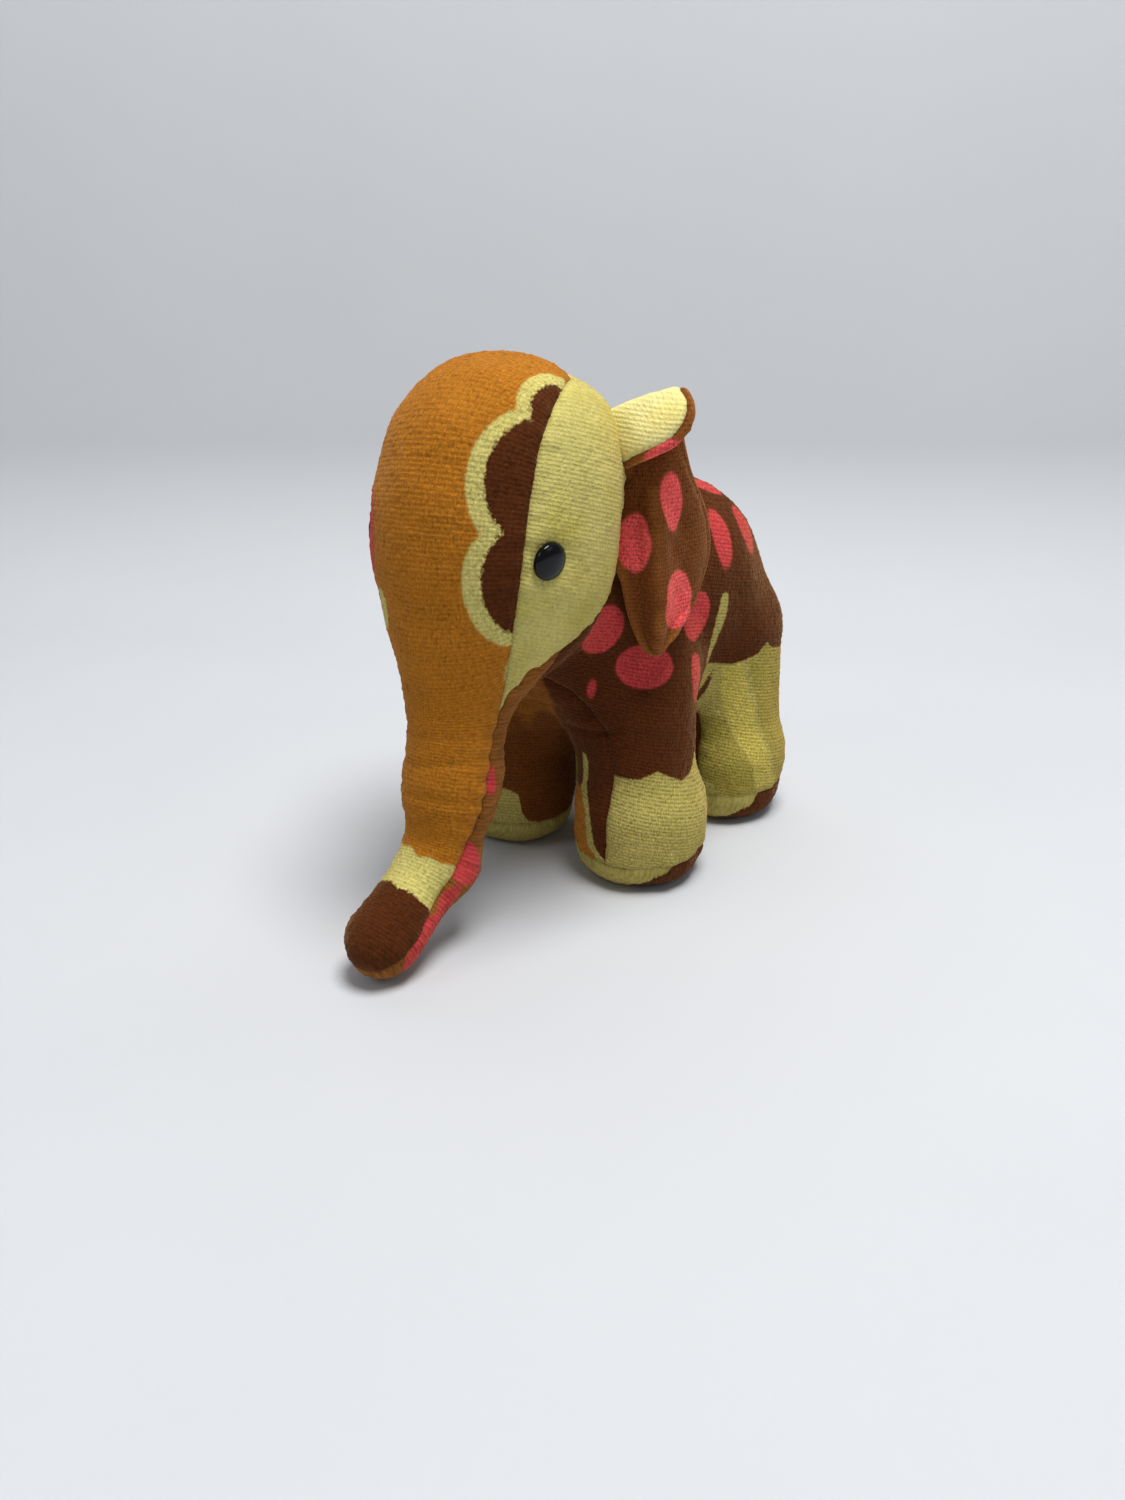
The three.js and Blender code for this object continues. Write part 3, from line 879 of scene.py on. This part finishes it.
def dress():
    """Makes the skin's panels, each with its print, its rows of pile and its place in the frame."""
    p, normals, parts, closest, seam = sewn_skin()
    moved = puffed(p, normals, closest, seam)
    x, y, z = p.T
    along = beside(GUSSET_SEAM, y, z)[1]
    # For each kind of panel: distance across the rows of pile, and along them.
    rows = {
        "forehead": (along + 0.05 * x, x),
        "cheek": (z + 0.32 * y, y - 0.32 * z),
        "underside": (along, x),
        "body": (z + 0.22 * y + 0.1 * x, y - 0.22 * z + x),
        "belly": (z + 0.1 * y, x + y),
        "sole": (y, x),
    }
    looks = {
        "forehead_trunk": ("forehead", forehead_inks, "orange_velour", "forehead_trunk_panel"),
        "trunk_underside": ("underside", underside_inks, "brown_velour", "trunk_underside_panel"),
        "belly": ("belly", belly_inks, "brown_velour", "belly_panel"),
        "body_left": ("body", body_inks(1), "brown_velour", "body_panel_left"),
        "body_right": ("body", body_inks(-1), "brown_velour", "body_panel_right"),
        "cheek_left": ("cheek", cheek_inks, "cream_velour", "cheek_panel_left"),
        "cheek_right": ("cheek", cheek_inks, "cream_velour", "cheek_panel_right"),
    }
    for end in ("front", "hind"):
        for side in ("left", "right"):
            name = f"sole_{end}_{side}"
            looks[name] = ("sole", sole_inks, "cream_velour", name)
    for name, (kind, inks, slot, node) in looks.items():
        rib, wale = rows[kind]
        attributes = {"seam": seam, "rib": rib, "wale": wale}
        attributes.update(("print_" + key, value) for key, value in inks(p).items())
        made = cloth_piece(name + "_skin", moved, normals, parts[name], attributes, fabric[kind])
        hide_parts(node)
        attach(made, "body")


dress()


# How far inside the skin the stuffing's surface lies.
STUFFING_INSET = 5


def stuffing():
    """The fibre filling inside the skin, as one continuous mass."""
    form = lambda q: toy_form(q) + STUFFING_INSET
    points, quads = surface_net(form, FORM_LOW, FORM_HIGH, 3.0)
    made = show("fibre_stuffing", settle(form, points, 2), quads.tolist(), fibre())
    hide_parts("head_stuffing", "trunk_stuffing", "body_stuffing",
                *[f"leg_stuffing_{end}_{side}" for end in ("front", "hind") for side in ("left", "right")])
    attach(made, "body")


stuffing()

# -------- ears

# Rows across the left ear, from its bottom edge up to the fold and on to the turned-over tab's edge.
# Each row runs from the neck seam to the ear's free back edge.
EAR_ROWS = np.array([
    [(38.5, -17.5, 89), (40.5, -16, 88), (42, -14, 88), (43.5, -12, 90), (44, -8.5, 94)],
    [(35.5, -19, 95), (39, -17, 93.5), (42, -14, 93.5), (44.5, -8.5, 95), (44.5, -1, 99)],
    [(33, -21, 105), (37.5, -18, 104), (42.5, -13.5, 104), (45, -5, 104), (44, 6.5, 107)],
    [(31, -22.5, 120), (36, -19, 119), (42, -14, 118), (45, -3, 118), (44, 11.5, 118)],
    [(31, -22.5, 134), (35.5, -19, 133), (41, -14.5, 132), (44.5, -4, 131), (43.5, 8.5, 131)],
    [(31, -21.5, 148), (35, -18.5, 147), (40.5, -15.5, 146.5), (43.5, -8, 146), (43, -1.5, 145)],
    [(29.5, -20.5, 158), (34, -18, 159), (39, -15.5, 160), (42.5, -12.5, 160), (44.5, -9, 159.5)],
    [(28.5, -20.5, 163.5), (34, -18.5, 166), (39.5, -17, 168), (44.5, -15, 169.5), (48.5, -14, 169.5)],
    [(29.5, -21.5, 160.5), (35.5, -21.5, 163.5), (42, -21, 166), (47.5, -19.5, 168), (52, -16.5, 168.5)],
    [(30, -22, 154), (37, -24.5, 156.5), (44.5, -25.5, 160.5), (50.5, -23, 163.5), (54.5, -19.5, 165)],
    [(31.5, -21.5, 146.5), (39, -25.5, 150), (46.5, -26.5, 153.5), (51.5, -24.5, 156.5), (54.5, -22, 161)],
], float)
# Half the ear's thickness, how far in from the free edge it rounds off, and its seam allowance.
EAR_HALF = 1.55
EAR_RIM = 2.3
EAR_SKIRT = 0.6
# The pink print spots on the ear's outside, coloured with the painted-light pink: middle, direction and half
# sizes.
EAR_PINK_SPOTS = [
    ((35.5, -19, 125), (0, 0, 1), 9.5, 6.5),
    ((43, -12, 137), (0, -0.2, 1), 9.5, 4.5),
    ((45.5, -9, 105.5), (0, -0.15, 1), 10, 7.5),
    ((47.5, -25, 154.5), (6, 1.5, 4), 6.5, 3.5),
]


def spread(rows, count_u, count_v):
    """A smooth grid through rows of points."""
    def resample(lines, count):
        fine = np.stack([curve(line, 24) for line in lines])
        steps = np.linalg.norm(np.diff(fine, axis=1), axis=2).mean(0)
        place = np.concatenate([[0], np.cumsum(steps)])
        t = np.linspace(0, 1, count)
        t = (t - np.sin(2 * math.pi * t) / (2 * math.pi) * 0.35) * place[-1]
        return np.stack([[np.interp(t, place, axis) for axis in line.T] for line in fine]).transpose(0, 2, 1)
    across = resample(rows, count_v)
    return resample(across.transpose(1, 0, 2), count_u).transpose(1, 0, 2)


def grid_normals(grid):
    """The direction square to a grid at each of its points."""
    du = np.gradient(grid, axis=0)
    dv = np.gradient(grid, axis=1)
    n = np.cross(dv, du)
    return n / np.maximum(np.linalg.norm(n, axis=2, keepdims=True), 1e-9)


def ear(side, name):
    """A two-layer ear: a grid through EAR_ROWS, bent, thickened and cut into its outside and its lining."""
    count_u, count_v = ((190, 52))
    rows = EAR_ROWS.copy()
    if side < 0:
        # The far ear's turned-over top lies a little flatter.
        rows[7:] -= (rows[7:] - rows[7, 0]) * (0.22, 0, 0) + (0, 0, 3.0)
    grid = spread(rows, count_u, count_v)
    outward = grid_normals(grid)
    if outward[count_u // 3, count_v // 2, 0] < 0:
        outward = -outward
    # The free edge: the bottom, the back, the tab's lower edge, and the front below the sewn part.
    hanging = [grid[i, 0] for i in range(count_u) if grid[i, 0, 2] < 119 and i < count_u // 2]
    edge = np.vstack([hanging, grid[0], grid[:, -1], grid[-1, 2:]])
    flat = grid.reshape(-1, 3)
    closest, free = Nearest(edge).find(flat)
    free = free.reshape(count_u, count_v)
    half = EAR_HALF * np.sqrt(np.maximum(1 - np.maximum(1 - free / EAR_RIM, 0) ** 2, 0))
    half[free < 1e-6] = 0
    # A soft upright fold divides the ear into a front and a back part.
    across = np.linspace(0, 1, count_v)[None]
    up = np.linspace(0, 1, count_u)[:, None]
    hangs = np.clip(up / 0.12, 0, 1) * np.clip((0.56 - up) / 0.12, 0, 1)
    fold = 3.2 * bell(across - 0.4, 0.07) - 1.6 * bell(across - 0.62, 0.12)
    grid = grid + outward * (hangs * fold)[..., None]
    ridge = grid[count_u // 20:int(count_u * 0.55):count_u // 18, round(0.4 * count_v)]
    outward = grid_normals(grid) * (1 if (grid_normals(grid) * outward).sum() > 0 else -1)
    from_neck = np.linalg.norm(grid - grid[:, :1], axis=2)
    sewn = np.clip((grid[:, :1, 2] - 112) / 8, 0, 1) * bell(from_neck, 2.5)
    half = half * (1 - 0.55 * sewn)
    # Sink the sewn edge into the neck seam.
    sunk = grid + np.array([-2.6, -0.4, 0]) * sewn[..., None]
    ripple = (0.25 * waves(flat, 17, 21) + 0.12 * waves(flat, 7, 22)).reshape(count_u, count_v)
    groove = 0.35 * bell(free - 3.2, 0.9)
    brown = sunk + outward * (half + (ripple - groove) * np.minimum(free / 3, 1))[..., None]
    cream = sunk - outward * (half - ripple * np.minimum(free / 3, 1))[..., None]
    points = np.vstack([brown.reshape(-1, 3), cream.reshape(-1, 3)])
    index = np.arange(count_u * count_v).reshape(count_u, count_v)
    quads = np.stack([index[:-1, :-1], index[:-1, 1:], index[1:, 1:], index[1:, :-1]], -1).reshape(-1, 4)
    lower = index.ravel() + count_u * count_v
    lower = np.where(free.ravel() < 1e-6, index.ravel(), lower)
    back_quads = lower[quads][:, ::-1]
    middle_quad = quads[len(quads) // 3]
    a, b, c = points[middle_quad[[0, 1, 3]]]
    if np.cross(b - a, c - a) @ outward.reshape(-1, 3)[middle_quad[0]] < 0:
        quads, back_quads = quads[:, ::-1], back_quads[:, ::-1]
    edge_tree = Nearest(edge)
    on_tab = lambda q: np.clip((q[:, 2] - 140) / 15, 0, 1) * (q[:, 1] < 0)
    wrap = lambda q: edge_tree.find(q)[1] - 1.5 - 1.6 * on_tab(q)
    skin = Skin(points)
    rim, inner = skin.cut(Faces(back_quads), wrap)
    outer = Faces(np.vstack([quads, rim.quads]), rim.cut)
    p = skin.points
    normals = point_normals(p, [*corners_of(outer), *corners_of(inner)])
    seam_points = {i for pair in edges_used_once(inner) for i in pair}
    seam = Nearest(p[sorted(seam_points)]).find(p)[1]
    is_back = np.zeros(len(p), bool)
    is_back[back_quads.ravel()] = True
    is_back[count_u * count_v * 2:] = True
    moved = p - normals * (0.35 * bell(seam, 0.8) * is_back)[:, None]
    inks = {
        "lit_pink": spots(p, EAR_PINK_SPOTS),
        "straw": spot(p, (47, -22.5, 163), (5, 1, 3), 7, 5),
        # Painted highlight along the fold's ridge and within 1.9 mm of the ear's free edge.
        "painted_highlight": np.minimum(streak(p, ridge, 1.5), edge_tree.find(p)[1] - 1.9),
    }
    inks = {"print_" + key: value for key, value in inks.items()}
    rows = {"rib": p[:, 2], "wale": p[:, 0] + p[:, 1]}
    flip = np.array([side, 1, 1.0])
    turn = (lambda f: Faces(f.quads[:, ::-1], [t[::-1] for t in f.cut])) if side < 0 else (lambda f: f)
    # The ear's outside layer gets no painted seam shade; its lining does.
    no_seam_shade = np.full(len(p), FAR)
    layers = (("ear_outer", outer, "brown_velour", no_seam_shade), ("ear_inner", inner, "cream_velour", seam))
    for kind, faces, slot, from_seam in layers:
        attributes = {"seam": from_seam, **inks, **rows}
        made = cloth_piece(f"{kind}_{name}_layer", moved * flip, normals * flip, turn(faces), attributes,
                           fabric[kind], EAR_SKIRT)
        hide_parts(f"{kind}_{name}")
        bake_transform(made)


def point_normals(points, faces):
    """Each point's direction, from the faces round it."""
    total = np.zeros_like(points)
    quads = np.array([f for f in faces if len(f) == 4])
    groups = [quads] + [np.array([f]) for f in faces if len(f) != 4]
    for group in groups:
        a, b, c, d = (points[group[:, k]] for k in (0, 1, 2, -1))
        n = np.cross(c - a, d - b) if group.shape[1] > 3 else np.cross(b - a, c - a)
        for k in range(group.shape[1]):
            np.add.at(total, group[:, k], n)
    return total / np.maximum(np.linalg.norm(total, axis=1, keepdims=True), 1e-12)


ear(1, "left")
ear(-1, "right")

# -------- tail

# The middle of the tail, from inside the body down to its tip.
TAIL_LINE = [(0, 82, 95), (0, 87, 94), (0, 91, 90.5), (0, 93, 84), (0, 94, 76), (0, 94.5, 68), (0, 95, 62)]


def tail():
    """A short stuffed strap that hangs from the back seam."""
    line = curve(TAIL_LINE, 10)
    rings, around = len(line), 28
    points, faces, rib = [], [], []
    for i, centre in enumerate(line):
        t = i / (rings - 1)
        close = math.sqrt(max(1 - max((t - 0.86) / 0.14, 0) ** 2, 0.02))
        wide, thick = (3.2 + 0.8 * t) * close, (2.2 + 0.3 * t) * close
        for k in range(around):
            a = 2 * math.pi * k / around
            edge = 1 - 0.12 * math.exp(-(math.sin(a) / 0.2) ** 2)
            points.append(centre + np.array([wide * math.cos(a) * edge, thick * math.sin(a), 0]))
            rib.append(centre[2])
    for i in range(rings - 1):
        for k in range(around):
            a, b = i * around + k, i * around + (k + 1) % around
            faces.append((a, a + around, b + around, b))
    faces.append(tuple(range(around)))
    faces.append(tuple(reversed(range((rings - 1) * around, rings * around))))
    points = np.array(points)
    values = {"seam": np.full(len(points), FAR), "rib": rib, "wale": points[:, 0] * 1.4}
    made = show("tail_strap", points, faces, fabric["tail"], values)
    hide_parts("tail")
    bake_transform(made)


tail()

# -------- eyes

def eye(side, name):
    """A black domed eye, as a turned profile of (radius, height above the skin)."""
    r = EYE_RADIUS
    profile = [(0, -4), (1.7, -4), (1.7, -1.2), (r - 0.9, -1.2), (r - 0.25, -0.9), (r, -0.3), (r - 0.15, 0.4)]
    dome = np.linspace(0.12, 1.45, 12)
    profile += [((r - 0.15) * math.cos(a), 0.4 + 2.0 * math.sin(a)) for a in dome] + [(0, 2.4)]
    around = 64
    out = EYE_OUT * (side, 1, 1)
    up = np.array([0, 0, 1.0])
    u = np.cross(up, out)
    u /= np.linalg.norm(u)
    v = np.cross(out, u)
    centre = EYE_AT * (side, 1, 1)
    points, faces = [], []
    for radius, height in profile:
        for k in range(around):
            a = 2 * math.pi * k / around
            points.append(centre + out * height + (u * math.cos(a) + v * math.sin(a)) * max(radius, 1e-3))
    for i in range(len(profile) - 1):
        for k in range(around):
            a, b = i * around + k, i * around + (k + 1) % around
            faces.append((a, b, b + around, a + around))
    made = show(f"eye_{name}_dome", np.array(points), faces, black)
    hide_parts("eye_" + name)
    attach(made, "body")
    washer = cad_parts["eye_washer_" + name]
    washer.data.materials.clear()
    washer.data.materials.append(white_plastic)


black = plastic("eye_plastic", (0.003, 0.003, 0.004), 0.06)
white_plastic = plastic("washer_plastic", (0.78, 0.78, 0.74), 0.5)
eye(1, "left")
eye(-1, "right")

# -------- floor, camera and light

CAMERA_AT = Vector(to_row((229.5, -332.5, 218.5)))
AHEAD = Vector((-0.578, 0.816, 0)).normalized()
CAMERA_PITCH = math.radians(24)
# The backdrop in metres: how far ahead of the camera it curves up, how tightly, its height and half width.
WALL_AHEAD = 0.66
WALL_CURVE = 0.09
WALL_TOP = 1.6
SHEET_HALF = 2.5


def backdrop():
    """A pale sheet: flat under the toy, and curving up behind it."""
    profile = [(-SHEET_HALF, 0.0), (0.0, 0.0), (WALL_AHEAD, 0.0)]
    for a in np.linspace(0.1, math.pi / 2, 16):
        profile.append((WALL_AHEAD + WALL_CURVE * math.sin(a), WALL_CURVE * (1 - math.cos(a))))
    profile.append((WALL_AHEAD + WALL_CURVE, WALL_TOP))
    sideways = Vector((AHEAD.y, -AHEAD.x, 0))
    base = Vector((CAMERA_AT.x, CAMERA_AT.y, 0))
    points, faces = [], []
    for forward, height in profile:
        for across in (-SHEET_HALF, SHEET_HALF):
            points.append(tuple(base + AHEAD * forward + sideways * across + Vector((0, 0, height))))
    for i in range(len(profile) - 1):
        faces.append((2 * i, 2 * i + 1, 2 * i + 3, 2 * i + 2))
    made = show("backdrop", np.array(points), faces, paper(), in_row_frame=True)


def area_light(name, at, target, size, power, colour=(1, 1, 1)):
    """A round light that faces its target."""
    data = bpy.data.lights.new(name, "AREA")
    data.shape = "DISK"
    data.size = size
    data.energy = power
    data.color = colour
    made = placed(name, data)
    made.location = at
    made.rotation_euler = (Vector(target) - Vector(at)).to_track_quat("-Z", "Y").to_euler()


backdrop()
area_light("overhead_light", (0.27, -0.08, 1.3), (0, 0, 0.05), 0.6, 17.0)
area_light("window_light", (-0.5, -0.9, 0.9), (0, 0, 0.08), 0.5, 1.3, (0.95, 0.98, 1.0))
area_light("side_light", (1.0, 0.1, 0.7), (0, 0, 0.08), 0.6, 0.6)

world = bpy.data.worlds.new("soft_room")
world.use_nodes = True
sky = world.node_tree.nodes["Background"].inputs
sky["Color"].default_value = (0.93, 0.96, 1.0, 1)
sky["Strength"].default_value = 0.21
scene.world = world
scene.view_settings.view_transform = "Standard"

lens = bpy.data.cameras.new("camera")
lens.sensor_width = 36
lens.lens = 29.11
lens.clip_start = 0.01
camera = placed("camera", lens)
look = AHEAD * math.cos(CAMERA_PITCH) - Vector((0, 0, math.sin(CAMERA_PITCH)))
camera.location = CAMERA_AT
camera.rotation_euler = look.to_track_quat("-Z", "Y").to_euler()
scene.camera = camera
